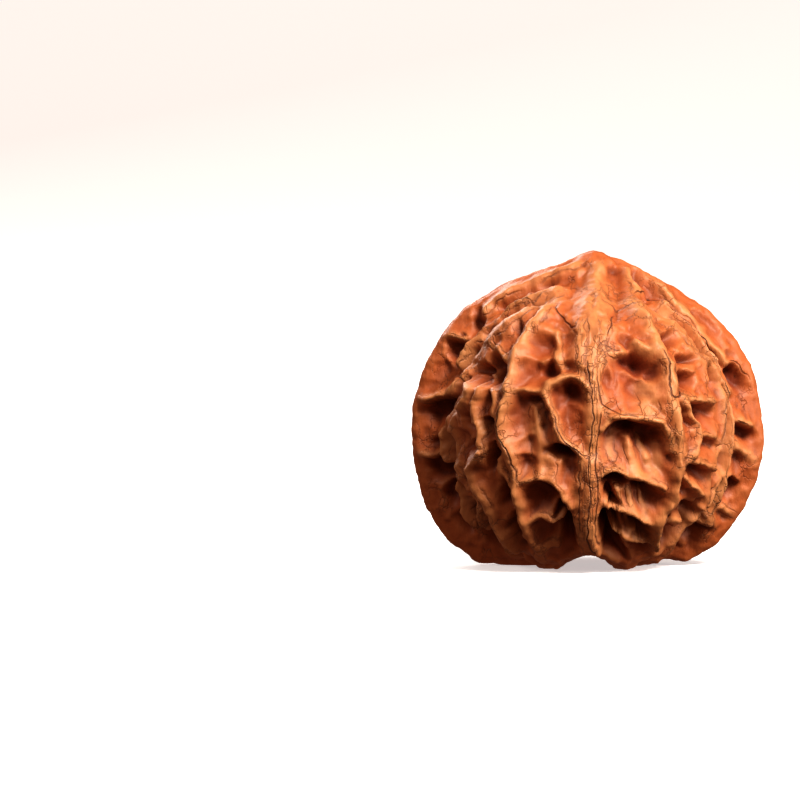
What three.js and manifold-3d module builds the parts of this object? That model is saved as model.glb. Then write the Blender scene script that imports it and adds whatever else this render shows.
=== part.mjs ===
// A wenwan walnut, the lion's head kind, standing on its base with its tip up.
// Millimetres, +Z up. The seam that joins the two halves lies in the XZ plane, and the front belly
// faces -Y. The origin is on the ground, under the middle of the nut.
//
// The nut is one solid. A smooth body comes first: a round belly, a seam blade all round it and a
// blunt tip. The relief is then raised and sunk on it by a formula, from two hand-laid lists for
// each half: the hollows, and the ribs that stand between them.
import * as THREE from "three";
import { mergeVertices } from "three/addons/utils/BufferGeometryUtils.js";
import Module from "manifold-3d";

// Driving dimensions.
const height = 40.3;
const middle = 18; // height of the widest part, from which the body is measured
const bellySide = 17.6; // belly, from the middle to its flank in the seam plane
const bellyFront = 20.3; // belly, from the middle to its front
const bellyTop = 17.6; // belly, from the middle up
const bellyBase = 19.4; // belly, from the middle down, before the underside flattens it
const bellyFullness = 2.5; // 2 is an ellipsoid, more has fuller shoulders towards the seam
const bladeEdge = 1.7; // half the thickness of the seam blade at its rim
const bladeSlope = 0.55; // how fast the blade thickens towards the belly
const tipStart = 21.5; // tip, from the middle
const tipFall = 10; // how far the surface drops from the tip to the level, as the tip alone would
const tipLean = 0.8; // the tip stands this far off the middle
const footSink = 0.5; // the feet are grown this far below the ground, and cut flat by it
const arch = { rise: 2.0, halfWidth: 4.2 }; // channel under the nut, between its feet
const navel = { rise: 1.6, halfWidth: 2.3 }; // scar in the middle of the underside
const rootRibs = { count: 7, height: 0.5, inner: 4.5, outer: 9 }; // ribs that run in to the scar
const neckRibs = { count: 9, height: 0.35, inner: 3, outer: 11 }; // pleats that run up to the tip
const droop = 0.15; // how far the relief hangs over, as a share of its height
const hollows = {
  spread: 1.2, // their rims run this far past the sizes read for them
  depthShare: 0.78, // they are laid at this share of the depths read for them
  overhang: 0.7, // how much deeper a hollow is under its upper lip than in its middle
  aside: 0.2, // and how much deeper towards its right
  roundness: 1.35, // how softly a hollow begins at its rim
  steepest: 0.95, // deepest that this mesh can hold, as a share of the halves' mean
  smallest: 0.75, // hollows narrower than this need a finer mesh than this one
};
const footing = { height: 1.1, spread: 2.6 }; // broad foot of a rib, as multiples of its own
const valley = 0.75; // how far the ground between the ribs lies below the smooth body
const sight = { side: 0.03, rise: 0.052 }; // slant of the line along which a half's relief is laid
const subdivisions = 23; // 20 x 24 x 24 triangles
const averaging = 0.95; // radius over which the relief is averaged, a little under a triangle
const flankCentre = 10; // depth at which the middle of a list lies, where it is laid on a flank

// Rim of the seam blade: distance from the middle at each angle above the level, in degrees.
const rimRight = [
  [-90, 16.6], [-80, 17.2], [-72, 18.6], [-63, 20.2], [-53, 21.8], [-41, 22.6], [-28, 22.7],
  [-19, 22.8], [-8, 22.75], [5, 22.3], [16, 22.3], [28, 22.0], [42, 21.4], [55, 20.8],
  [68, 20.7], [79, 21.0], [90, 21.6],
];
const rimLeft = [
  [-90, 16.6], [-80, 17.2], [-74, 18.4], [-61, 20.5], [-50, 21.9], [-38, 22.7], [-26, 22.9],
  [-15, 22.7], [-5, 22.5], [5, 22.35], [14, 22.1], [29, 21.9], [42, 21.6], [55, 21.0],
  [68, 20.7], [79, 20.6], [90, 21.6],
];

// Hollows of the front half: across, up, half width, half height, turn in degrees, depth.
const frontHollows = [
  // Right of the middle rib, from the top down.
  [4.9, 28.3, 1.5, 1.1, -40, 1.2], [5.5, 23.6, 3.6, 4.0, -8, 1.5], [6.0, 25.3, 2.8, 1.7, -22, 3.0],
  [8.5, 24.0, 0.9, 1.7, 0, 2.2], [6.4, 21.9, 1.4, 2.2, 0, 2.0], [2.9, 22.9, 1.2, 2.2, 5, 0.8],
  [3.3, 31.3, 0.8, 1.4, -15, 0.5], [8.4, 30.6, 0.8, 1.8, 10, 0.4],
  [3.3, 15.0, 2.0, 3.2, 8, 2.0], [8.0, 14.6, 2.7, 3.8, 15, 3.0], [5.0, 17.0, 3.0, 1.6, -3, 3.6],
  [3.6, 10.7, 2.0, 1.2, 0, 4.2], [6.7, 9.6, 1.4, 1.0, -25, 3.8], [7.0, 8.2, 2.7, 2.2, -15, 1.6],
  [2.8, 8.9, 0.9, 1.6, 0, 2.4], [2.8, 4.0, 1.6, 4.6, -6, 8.0], [3.3, 1.2, 1.7, 2.4, 0, 6.0],
  [6.0, 4.9, 2.4, 1.4, -30, 3.4],
  [6.6, 2.5, 1.8, 1.6, -20, 2.8],
  // Between the inner and the outer rib on the right.
  [10.4, 28.6, 1.7, 1.0, 0, 1.0], [10.4, 26.8, 0.8, 0.7, 0, 0.6], [12.5, 26.2, 1.1, 0.7, 0, 0.9],
  [12.7, 23.5, 1.3, 1.3, 0, 2.0], [14.6, 19.0, 2.1, 2.1, 0, 2.4], [15.3, 15.5, 1.6, 1.3, 0, 1.9],
  [14.4, 11.8, 2.2, 1.7, -20, 2.0], [14.2, 10.3, 1.6, 1.5, 0, 0.9], [12.3, 9.8, 1.0, 2.1, 35, 2.4],
  [12.6, 6.7, 1.9, 1.3, -10, 2.0], [9.9, 11.6, 0.6, 1.0, 10, 1.4], [10.6, 13.6, 0.5, 1.3, 0, 1.2],
  [9.7, 6.6, 0.6, 1.2, 15, 1.6],
  [9.9, 3.6, 1.3, 1.8, 0, 2.4], [12.9, 4.1, 1.6, 1.9, 0, 2.0],
  [14.8, 4.4, 1.1, 0.8, 20, 1.9], [10.6, 1.9, 1.5, 0.9, 0, 1.4], [12.2, 18.5, 0.7, 2.0, 15, 1.5],
  // Seam blade on the right.
  [16.6, 25.9, 0.9, 2.2, 28, 1.5], [19.1, 23.5, 1.0, 2.5, 38, 1.9],
  [17.7, 20.7, 0.8, 1.1, 20, 1.0], [19.6, 16.8, 2.3, 1.3, -22, 2.0], [19.2, 14.2, 2.2, 1.0, -38, 1.1],
  [17.9, 9.6, 1.5, 1.6, 20, 1.8], [18.0, 7.0, 1.9, 1.0, -30, 1.2], [15.0, 30.8, 2.4, 1.0, -36, 0.6],
  // Under the tip.
  [3.2, 36.9, 1.0, 2.2, 22, 0.8], [6.4, 36.2, 1.1, 1.9, 42, 0.8], [9.3, 34.0, 0.8, 2.8, 50, 0.9],
  [-5.5, 35.0, 3.6, 1.0, 14, 0.8], [-1.0, 37.6, 0.5, 1.5, 0, 0.4],
  // Left of the middle rib, from the top down.
  [-5.9, 27.6, 2.3, 1.8, -15, 1.4], [-4.9, 27.6, 1.5, 1.7, 0, 1.5], [-2.7, 28.2, 1.8, 2.6, 10, 1.3],
  [-6.6, 24.0, 2.7, 2.1, 0, 1.1], [-4.8, 24.3, 1.6, 1.7, 0, 2.3], [-2.3, 25.0, 1.2, 1.0, 0, 0.9],
  [-2.6, 18.8, 2.4, 4.8, 12, 1.1], [-1.8, 21.4, 1.9, 2.5, 6, 2.2], [-8.2, 18.2, 2.1, 3.6, 5, 1.4],
  [-6.7, 20.5, 1.8, 1.3, 0, 1.8], [-5.0, 18.0, 1.2, 3.4, 12, 2.6], [-7.4, 15.2, 1.2, 1.7, 0, 1.3],
  [-7.6, 12.8, 1.2, 1.5, 30, 1.3], [-3.4, 14.2, 2.0, 1.3, -15, 4.0], [-2.0, 12.0, 1.2, 2.8, 5, 1.8],
  [-5.0, 9.6, 2.2, 1.3, -20, 4.8], [-5.8, 8.2, 2.6, 2.2, 0, 2.0],
  [-3.5, 4.9, 1.7, 1.3, -20, 4.0], [-5.2, 3.9, 2.2, 2.0, 0, 1.6], [-2.5, 4.0, 1.3, 4.0, 10, 5.0],
  // Between the inner and the outer rib on the left.
  [-8.5, 29.3, 0.5, 1.6, -12, 1.2], [-11.3, 24.6, 1.2, 2.2, 0, 4.0], [-13.3, 24.9, 1.2, 1.0, 0, 2.0],
  [-13.6, 23.0, 0.8, 0.7, 0, 1.4], [-12.1, 20.8, 0.8, 1.2, 0, 1.3], [-12.1, 17.3, 1.4, 1.5, 0, 3.4],
  [-14.4, 17.8, 0.7, 1.5, 10, 1.5], [-14.2, 15.0, 1.3, 1.1, 0, 3.2], [-16.2, 15.7, 1.1, 1.8, 15, 1.3],
  [-11.3, 13.4, 0.7, 2.4, 8, 2.6], [-9.4, 8.7, 1.0, 2.7, 16, 4.2], [-8.3, 4.4, 0.9, 2.7, 24, 3.0],
  [-14.3, 11.2, 0.8, 1.7, 10, 2.3], [-12.6, 7.2, 1.2, 3.0, 24, 3.6], [-11.2, 3.4, 1.3, 2.4, 40, 2.2],
  // Seam blade on the left.
  [-16.4, 27.1, 1.8, 2.3, 0, 3.2], [-13.7, 30.6, 1.0, 2.6, 3, 1.4], [-9.2, 32.7, 2.0, 1.2, 20, 1.2],
  [-18.3, 19.5, 3.0, 2.0, 4, 4.4], [-16.3, 21.0, 1.5, 1.1, 30, 1.8], [-15.6, 22.9, 1.1, 1.8, 0, 1.6],
  [-18.6, 15.6, 1.6, 1.0, 20, 1.3], [-18.0, 11.9, 2.4, 2.4, 0, 4.6], [-17.1, 8.2, 1.4, 2.6, 12, 2.8],
  [-15.6, 5.2, 1.8, 1.5, -35, 2.4], [-18.9, 24.8, 1.3, 1.8, 0, 0.8],
];

// Ribs of the front half: half width, height, how much of a hollow they fill, then the crest.
const frontRibs = [
  // The ridge under the tip, then the middle rib and the two strands that it grows from.
  [1.1, 0.35, 1, [[0.9, 40], [0.7, 38], [0.5, 36], [0.7, 34.4]]],
  [2.2, 0.3, 1, [[1.0, 34.4], [0.8, 31], [0.5, 27]]],
  [1.0, 0.3, 1, [[0.9, 33], [0.8, 30], [0.6, 26], [0.6, 22], [0.8, 18], [0.9, 14.5], [0.7, 11]]],
  [1.3, 0.5, 1, [[0.7, 13], [0.3, 10.5], [0.1, 8], [0.3, 5.4], [0.7, 3], [0.9, 1]]],
  [0.6, 0.2, 0.9, [[-0.2, 14.4], [-0.9, 11.5], [-1.2, 9], [-1.0, 6.5], [-0.6, 4]]],
  [0.8, 0.15, 1, [[-0.2, 32], [-0.8, 29], [-0.9, 26.5], [-0.4, 24], [0.3, 21.5]]],
  [0.8, 0.15, 1, [[2.0, 32.5], [2.1, 29], [1.8, 26], [1.2, 23], [1.2, 20.5], [2.2, 19.4]]],
  // Right: inner rib, outer rib and the leaf-shaped fold between them.
  [0.7, 0.55, 0.95, [[5.4, 33.4], [7.4, 30.6], [8.7, 28], [9.8, 25.4], [10.3, 23], [10.8, 20],
    [11.2, 17.4],
    [11.4, 15], [11.5, 12.8], [10.9, 10.4], [9.9, 8], [8.9, 5.8], [8.4, 3.6], [8.7, 1.3]]],
  [0.6, 0.6, 1, [[9.4, 32.6], [12, 30], [14, 27.6], [15.6, 25], [16.6, 22.6], [17.2, 20], [17.4, 17],
    [17.2, 14.4], [16.9, 12], [16.4, 9.8], [15.6, 7.6], [15.3, 5.4]]],
  [0.55, 0.45, 0.9, [[11.7, 21.4], [12.6, 20], [13.5, 18.3], [13.8, 16.6], [13.5, 15.3], [12.4, 13.8],
    [11.6, 12.4]]],
  [0.65, 0.1, 0.45, [[5.1, 16.0], [5.5, 14.5], [6.1, 12.8], [6.8, 11.3]]],
  [0.7, 0.05, 0.18, [[7.3, 15.8], [7.9, 14.2], [8.1, 12.6]]],
  [0.6, 0.05, 0.2, [[9.4, 15.2], [9.4, 13.7], [9.0, 12.1]]],
  [0.7, 0.05, 0.18, [[3.4, 16.6], [3.0, 15.2], [3.3, 13.8]]],
  [0.55, 0.45, 0.7, [[12.1, 11.3], [13.2, 10.1], [14.4, 9.2], [15.6, 8.7]]],
  // Right: lips over the hollows.
  [0.5, 0.35, 0.9, [[2.4, 27.4], [3.5, 27.0], [4.4, 27.1]]],
  [0.5, 0.35, 0.9, [[5.9, 28.5], [6.8, 27.9], [8, 27.5], [9, 26.7]]],
  [0.55, 0.4, 0.9, [[1.9, 17.2], [3.0, 18.7], [5, 19.1], [7, 19.1], [8.9, 18.4], [10.1, 17], [10.7, 15]]],
  [0.5, 0.45, 0.9, [[1.7, 11.9], [3.2, 12.4], [4.6, 12.3], [6, 11.4], [7.2, 10.9], [8.6, 10.7],
    [9.6, 10.4]]],
  [0.5, 0.45, 0.9, [[2.1, 8.6], [3.2, 7.8], [4.4, 7.3], [5.7, 6.8], [6.6, 6.1], [7.6, 5.6], [8.6, 5.3]]],
  [0.5, 0.35, 0.9, [[3.6, 4.7], [4.6, 4.1], [5.8, 3.4], [7.0, 3.1], [8.2, 3.3]]],
  [0.5, 0.2, 0.9, [[12.0, 21.5], [13.6, 21.2], [15.4, 21.1], [17, 21.2]]],
  [0.5, 0.2, 0.9, [[13.6, 17.3], [15, 16.9], [16.6, 16.7]]],
  [0.5, 0.2, 0.9, [[12.6, 13.5], [14, 13.5], [15.4, 13.2], [16.8, 12.9]]],
  [0.7, 0.05, 0.35, [[7.7, 23.8], [8.0, 22.2], [7.6, 20.6]]],
  [0.5, 0.2, 0.9, [[9.6, 6.2], [10.8, 6.1], [12.4, 5.8], [14, 5.7]]],
  // Left: inner rib, outer rib and the belly's edge.
  [0.65, 0.6, 0.95, [[-3.4, 34.4], [-5.2, 32], [-6.8, 29.8], [-8.2, 27.6], [-9.2, 25], [-9.5, 22.5],
    [-10, 20],
    [-10.4, 17.8], [-9.9, 15.6], [-9, 13.6], [-8.6, 11.3], [-8.7, 9], [-7.9, 6.5], [-7, 4.3], [-6.1, 2.2],
    [-5.5, 0.8]]],
  [0.6, 0.75, 0.95, [[-12.6, 14.8], [-13.8, 12.8], [-13.3, 11], [-12.1, 9], [-10.7, 6.6], [-9.5, 4.3],
    [-8.4, 2], [-7, 0.4]]],
  [0.55, 0.65, 0.95, [[-12.2, 29.1], [-13.9, 28.2], [-15, 26.5], [-15.3, 24.6], [-14.8, 23],
    [-14.2, 22.2],
    [-14.8, 20.9], [-16.4, 18.8], [-17.6, 16.4], [-17.5, 14.3], [-16.2, 13.1], [-15.7, 11.3],
    [-15.4, 9.4],
    [-14.6, 7.2], [-13.6, 5.4]]],
  [1.0, 0.75, 0.9, [[-4.2, 33.9], [-6.5, 33], [-8.7, 31.5], [-10.6, 29.9], [-12, 28.8]]],
  [0.45, 0.4, 0.9, [[-12.0, 28.4], [-10.9, 26.9], [-9.8, 25.8], [-9.5, 24]]],
  [0.5, 0.6, 0.9, [[-13.0, 22.4], [-13.6, 20.4], [-13.2, 18.6], [-12.9, 16.8], [-12.6, 14.8]]],
  [0.5, 0.5, 0.8, [[-11.2, 22], [-11.1, 19.4], [-10.6, 18]]],
  [0.55, 0.55, 0.8, [[-10.8, 13.8], [-10.3, 12.2], [-9.2, 10.8]]],
  // Left: lips over the hollows.
  [0.55, 0.45, 0.9, [[0.1, 22.6], [-0.7, 23.5], [-1.9, 23.9], [-3.4, 23.8], [-4.6, 22.9],
    [-5.1, 21.8], [-4.6, 19.8],
    [-3.9, 17.6], [-3.2, 16.1], [-1.7, 14.9], [-0.2, 14]]],
  [0.6, 0.15, 0.65, [[-3.9, 29.6], [-3.9, 28.2], [-3.6, 26.6], [-3.1, 25.4]]],
  [0.5, 0.3, 0.8, [[-9.2, 22.1], [-7.4, 22.2], [-6, 22], [-5.1, 22]]],
  [1.1, 0.2, 0.4, [[-6.6, 19.6], [-6.3, 18.4], [-6.4, 17], [-6.5, 16.2], [-6.0, 14.5], [-5.3, 13.2],
    [-5.2, 12.2],
    [-5.8, 11.5]]],
  [0.5, 0.5, 0.9, [[-8.6, 10.9], [-7, 11.3], [-5.6, 11.5], [-4.5, 11], [-3.5, 10.1], [-2.8, 8.9],
    [-2.2, 7.6]]],
  [0.5, 0.4, 0.9, [[-7, 6], [-5.8, 6.5], [-4.6, 6.6], [-3.8, 6.3], [-2.8, 6.6]]],
  [0.4, 0.1, 0.5, [[-6.3, 2.9], [-5.3, 2.6], [-4.4, 2.9], [-3.6, 2.6]]],
  // Folds along the seam blade.
  [0.7, 0.5, 0.8, [[-1, 38.9], [-5, 37.1], [-8, 35.8], [-10.6, 34.4], [-12.8, 32.4]]],
  [0.55, 0.4, 0.9, [[-18.2, 29.2], [-16.8, 29.2], [-15.4, 28.8]]],
  [0.5, 0.4, 0.9, [[-21, 21.4], [-19.4, 21.6], [-17.6, 22.2], [-16.6, 23.2]]],
  [0.5, 0.4, 0.9, [[-21.2, 14.2], [-19.6, 14], [-18.4, 14.2]]],
  [0.6, 0.4, 0.8, [[4.3, 38.6], [5, 36.6], [6, 35]]],
  [0.6, 0.5, 0.8, [[7, 37.6], [9, 35.7], [11, 33.6], [13, 31.4], [14.6, 29.6], [16.6, 27.4], [17.8, 25.6],
    [18, 23.8]]],
  [0.5, 0.4, 0.9, [[18, 18.6], [19.4, 18.5], [21, 17.8]]],
  [0.5, 0.4, 0.8, [[17.6, 16.4], [19, 15.6], [20.8, 14.6], [22, 13.4]]],
  [0.5, 0.4, 0.8, [[16.8, 8.6], [18.2, 8.2], [19.6, 7.4]]],
];

// The back half is another half of the same kind: the front's lists are turned over, bent out of
// place together, and each hollow gets its own size and depth from a seeded row of draws.
const backSeed = 4711;
const backBend = [
  // reach, then wave length and start along the way across and along the way up
  { across: [1.7, 5.3, 1.2], up: [0.9, 3.9, 0.4] },
  { across: [1.4, 4.6, 2.3], up: [1.1, 5.9, 3.0] },
];

const turnRate = Math.PI / 180;

function drawsFrom(seed) {
  let state = seed;
  return (low, high) => {
    state = (state * 16807) % 2147483647;
    return low + (high - low) * (state / 2147483647);
  };
}

function bent(across, up) {
  const wave = ([reach, length, start], along) => reach * Math.sin(along / length + start);
  const calm = THREE.MathUtils.smoothstep(21 - Math.abs(across), 0, 6);
  const aside = wave(backBend[0].across, up) + wave(backBend[0].up, across);
  const above = wave(backBend[1].across, across) + wave(backBend[1].up, up);
  return [-across + calm * aside, up + calm * above];
}

function backHalf() {
  const draw = drawsFrom(backSeed);
  const bentHollows = frontHollows.map(([across, up, halfWidth, halfHeight, turn, depth]) => [
    ...bent(across, up),
    halfWidth * draw(0.85, 1.2),
    halfHeight * draw(0.85, 1.25),
    draw(-12, 12) - turn,
    depth * draw(0.7, 1.25),
  ]);
  const bentRibs = frontRibs.map(([halfWidth, rise, fill, crest]) => [
    halfWidth,
    rise,
    fill,
    crest.map(([across, up]) => bent(across, up)),
  ]);
  return { hollows: bentHollows, ribs: bentRibs };
}

const halves = { front: { hollows: frontHollows, ribs: frontRibs }, back: backHalf() };

// Value at an angle, eased between the knots of a list.
function eased(knots, angle) {
  const next = knots.findIndex(([at]) => at >= angle);
  if (next <= 0) return knots[next === 0 ? 0 : knots.length - 1][1];
  const [a0, r0] = knots[next - 1];
  const [a1, r1] = knots[next];
  return THREE.MathUtils.lerp(r0, r1, THREE.MathUtils.smoothstep(angle, a0, a1));
}

// The larger or the smaller of two lengths, with the corner between them rounded.
function softMax(a, b, blend) {
  return Math.max(a, b) + Math.max(blend - Math.abs(a - b), 0) ** 2 / (4 * blend);
}

function softMin(a, b, blend) {
  return Math.min(a, b) - Math.max(blend - Math.abs(a - b), 0) ** 2 / (4 * blend);
}

// Height of the underside, with the channel between the feet and the scar in its middle.
function underside(x, y) {
  const channel = arch.rise * Math.exp(-((x / arch.halfWidth) ** 2));
  const scar = navel.rise * Math.exp(-(x * x + y * y) / navel.halfWidth ** 2);
  return channel + scar - footSink;
}

// Distance from the middle to the smooth body, along a unit direction.
function bodyReach(d) {
  const top = d.z > 0 ? bellyTop : bellyBase;
  const level = Math.hypot(d.x / bellySide, d.z / top);
  const depth = Math.abs(d.y / bellyFront);
  const belly = (level ** bellyFullness + depth ** bellyFullness) ** (-1 / bellyFullness);
  const inPlane = Math.max(1e-6, Math.hypot(d.x, d.z));
  const angle = Math.atan2(d.z, Math.abs(d.x)) / turnRate;
  const side = THREE.MathUtils.smoothstep(d.x / inPlane, -0.12, 0.12);
  const rim = THREE.MathUtils.lerp(eased(rimLeft, angle), eased(rimRight, angle), side);
  const face = (bladeEdge + bladeSlope * rim) / (Math.abs(d.y) + bladeSlope * inPlane);
  const blade = softMin(face, rim / inPlane, 2.5);
  const shoulder = 1.6 + 2.4 * THREE.MathUtils.smoothstep(d.z, 0.55, 0.95);
  let reach = softMax(belly, blade, shoulder);
  if (d.z > 0) reach = softMax(reach, tipStart - tipFall * Math.hypot(d.x, d.y), 3);
  if (d.z < -0.5) {
    const down = middle / -d.z;
    const ground = (middle - underside(d.x * down, d.y * down)) / -d.z;
    reach = softMin(reach, ground, 1.2);
  }
  return reach;
}

function bodyPoint(d) {
  return d.clone().multiplyScalar(bodyReach(d));
}

// Outward normal of the smooth body, from two short steps across the direction.
function bodyNormal(d) {
  const step = 0.004;
  const across = new THREE.Vector3(-d.y, d.x, 0);
  if (across.lengthSq() < 1e-6) across.set(1, 0, 0);
  across.normalize();
  const along = new THREE.Vector3().crossVectors(d, across);
  const slope = (way) =>
    bodyPoint(d.clone().addScaledVector(way, step).normalize()).sub(
      bodyPoint(d.clone().addScaledVector(way, -step).normalize()),
    );
  return new THREE.Vector3().crossVectors(slope(across), slope(along)).normalize();
}

// Depth of the hollows: each is a bowl, steep and deep under its upper lip and shallow towards its
// lower rim. Where they lie over one another the deepest wins.
function hollowDepth(list, across, up) {
  let sum = 0;
  for (const [x, z, halfWidth, halfHeight, turn, depth] of list) {
    if (Math.min(halfWidth, halfHeight) < hollows.smallest) continue;
    const c = Math.cos(turn * turnRate);
    const s = Math.sin(turn * turnRate);
    const u = ((across - x) * c + (up - z) * s) / halfWidth;
    const v = ((up - z) * c - (across - x) * s) / halfHeight;
    const out = Math.hypot(u, v);
    if (out >= hollows.spread) continue;
    const power = 2.1 + v / Math.max(out, 1e-6);
    const bowl = (1 - (out / hollows.spread) ** power) ** hollows.roundness;
    const steepest = hollows.steepest * Math.sqrt(halfWidth * halfHeight);
    const deep = Math.min(hollows.depthShare * depth, steepest);
    sum += Math.max(deep * bowl * (1 + hollows.overhang * v + hollows.aside * u), 0) ** 6;
  }
  return sum ** (1 / 6);
}

function distanceTo(crest, across, up) {
  let nearest = Infinity;
  for (let i = 1; i < crest.length; i++) {
    const [x0, z0] = crest[i - 1];
    const ex = crest[i][0] - x0;
    const ez = crest[i][1] - z0;
    const share = ((across - x0) * ex + (up - z0) * ez) / (ex * ex + ez * ez);
    const t = THREE.MathUtils.clamp(share, 0, 1);
    nearest = Math.min(nearest, Math.hypot(across - x0 - t * ex, up - z0 - t * ez));
  }
  return nearest;
}

// Height of the relief at a place seen from a half's own side, plus out and minus in.
function relief(half, across, up) {
  let open = 1;
  let raised = 0;
  for (const [halfWidth, rise, fill, crest] of half.ribs) {
    const far = distanceTo(crest, across, up) / halfWidth;
    const near = Math.exp(-(far ** 2));
    const foot = footing.height * rise * 2 * Math.exp(-((far / footing.spread) ** 2));
    open = Math.min(open, 1 - fill * near);
    raised = Math.max(raised, rise * near + foot);
  }
  return raised - valley - open * hollowDepth(half.hollows, across, up);
}

// The relief with its finest part averaged out, which this mesh can't hold.
function calmRelief(half, across, up) {
  let sum = relief(half, across, up);
  for (let i = 0; i < 12; i++) {
    const turn = (i * Math.PI) / 6;
    const out = averaging * (i % 2 ? 1 : 0.5);
    sum += relief(half, across + out * Math.cos(turn), up + out * Math.sin(turn));
  }
  return sum / 13;
}

// Ribs that run in to the scar below, or up to the tip above. Their spacing is uneven.
function spokes({ count, height: most, inner, outer }, x, y) {
  const out = Math.hypot(x, y);
  const angle = Math.atan2(y, x);
  const wave = Math.cos(count * angle + 1.3 * Math.sin(2 * angle + 0.7) + 0.25 * out);
  const begun = THREE.MathUtils.smoothstep(out, inner - 1.5, inner + 1);
  const ended = THREE.MathUtils.smoothstep(out, outer, outer + 5);
  return most * begun * (1 - ended) * (wave - 0.6);
}

// A half's relief is laid along the line of sight from its own side. On the flanks, which turn
// away from it, the other half's relief is laid from the side instead.
function halfRelief(base, normal) {
  const inFront = base.y < 0;
  const [own, other] = inFront ? [halves.front, halves.back] : [halves.back, halves.front];
  const turned = inFront ? 1 : -1; // the back half is seen from behind
  const depth = Math.abs(base.y);
  const across = turned * base.x + sight.side * depth;
  const up = base.z + middle - sight.rise * depth;
  const flank = 1 - THREE.MathUtils.smoothstep(Math.abs(normal.y), 0.15, 0.45);
  const offBlade = THREE.MathUtils.smoothstep(depth, 0.6, 3);
  const offTip = 1 - THREE.MathUtils.smoothstep(base.z + middle, height - 2.5, height - 0.6);
  let height0 = flank < 1 ? calmRelief(own, across, up) : 0;
  if (flank > 0) {
    const aside = Math.sign(base.x) * turned * (flankCentre - depth);
    height0 = THREE.MathUtils.lerp(height0, calmRelief(other, aside, up), flank);
  }
  return Math.max(height0 * offBlade * offTip, -0.75 * depth);
}

function nutPoint(direction) {
  const base = bodyPoint(direction);
  const normal = bodyNormal(direction);
  const beneath = THREE.MathUtils.smoothstep(-normal.z, 0.7, 0.97);
  const above = THREE.MathUtils.smoothstep(normal.z, 0.7, 0.95);
  const lift =
    halfRelief(base, normal) * (1 - beneath) +
    spokes(rootRibs, base.x, base.y) * beneath +
    spokes(neckRibs, base.x, base.y) * above;
  const down = new THREE.Vector3(0, 0, -1).addScaledVector(normal, normal.z);
  const point = base.clone().addScaledVector(normal, lift).addScaledVector(down, droop * lift);
  point.z += middle;
  point.x += tipLean * THREE.MathUtils.smoothstep(point.z, height - 8, height);
  return point;
}

function nutGeometry() {
  const ball = new THREE.IcosahedronGeometry(1, subdivisions);
  ball.deleteAttribute("normal");
  ball.deleteAttribute("uv");
  const merged = mergeVertices(ball, 1e-5);
  const places = merged.getAttribute("position");
  const direction = new THREE.Vector3();
  for (let i = 0; i < places.count; i++) {
    direction.fromBufferAttribute(places, i).normalize();
    const point = nutPoint(direction);
    places.setXYZ(i, point.x, point.y, point.z);
  }
  return merged;
}

const wasm = await Module();
wasm.setup();

function solidFrom(geometry) {
  return new wasm.Manifold(
    new wasm.Mesh({
      numProp: 3,
      vertProperties: new Float32Array(geometry.getAttribute("position").array),
      triVerts: new Uint32Array(geometry.index.array),
    }),
  );
}

// The ground plane cuts the lowest ribs flat, which gives the nut the spots that it stands on.
function standing(geometry) {
  const block = new THREE.BoxGeometry(60, 60, 10).translate(0, 0, -5);
  block.deleteAttribute("normal");
  block.deleteAttribute("uv");
  const cut = solidFrom(geometry).subtract(solidFrom(mergeVertices(block, 1e-5)));
  const { vertProperties, triVerts } = cut.getMesh();
  const flat = new THREE.BufferGeometry();
  flat.setAttribute("position", new THREE.BufferAttribute(new Float32Array(vertProperties), 3));
  flat.setIndex(new THREE.BufferAttribute(new Uint32Array(triVerts), 1));
  flat.computeVertexNormals();
  return flat;
}

function walnut() {
  const polishedShell = new THREE.MeshStandardMaterial({ color: 0xb5652f, roughness: 0.42, metalness: 0 });
  const mesh = new THREE.Mesh(standing(nutGeometry()), polishedShell);
  mesh.name = "walnut_shell";
  return mesh;
}

const part = new THREE.Group();
part.add(walnut());
export default part;
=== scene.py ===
import math

import bpy
import numpy as np
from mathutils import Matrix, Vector


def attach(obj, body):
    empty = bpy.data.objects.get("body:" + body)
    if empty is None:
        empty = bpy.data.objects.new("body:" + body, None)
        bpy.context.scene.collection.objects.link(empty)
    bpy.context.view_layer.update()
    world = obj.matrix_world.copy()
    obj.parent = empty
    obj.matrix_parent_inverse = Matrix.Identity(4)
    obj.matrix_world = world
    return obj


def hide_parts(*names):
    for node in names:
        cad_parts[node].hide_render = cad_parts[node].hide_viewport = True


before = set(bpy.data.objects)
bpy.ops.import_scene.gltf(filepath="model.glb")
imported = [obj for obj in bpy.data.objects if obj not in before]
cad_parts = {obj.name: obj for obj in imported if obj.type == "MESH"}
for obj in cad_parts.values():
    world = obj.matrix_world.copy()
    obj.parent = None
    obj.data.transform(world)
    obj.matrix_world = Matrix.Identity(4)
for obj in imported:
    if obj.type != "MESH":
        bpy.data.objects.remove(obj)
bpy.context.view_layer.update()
print("frame loaded")

mm = 0.001

# The smooth body that the relief is laid on.
body = {
    "height": 40.3,
    "middle": 18,  # height of the widest part, from which the body is measured
    "bellySide": 17.6,
    "bellyFront": 20.3,
    "bellyTop": 17.6,
    "bellyBase": 19.4,
    "bellyFullness": 2.5,  # 2 is an ellipsoid, more has fuller shoulders
    "bladeEdge": 1.7,  # half the thickness of the seam blade at its rim
    "bladeSlope": 0.55,
    "tipStart": 21.5,
    "tipFall": 10,
    "tipLean": 0.8,
    "footSink": 0.8,  # the feet are grown this far below the ground, and cut flat by it
    "archRise": 2.3,
    "archHalfWidth": 4.2,
    "navelRise": 1.6,
    "navelHalfWidth": 2.3,
    "rocker": 0.7,  # how far the underside rises towards the front and the back
    "shoulderBlend": 1.6,  # how far the corners between the forms are rounded
    "topBlend": 2.4,  # more for the shoulder towards the top
    "rimBlend": 2.5,
    "tipBlend": 3,
    "groundBlend": 1.2,
}

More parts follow.
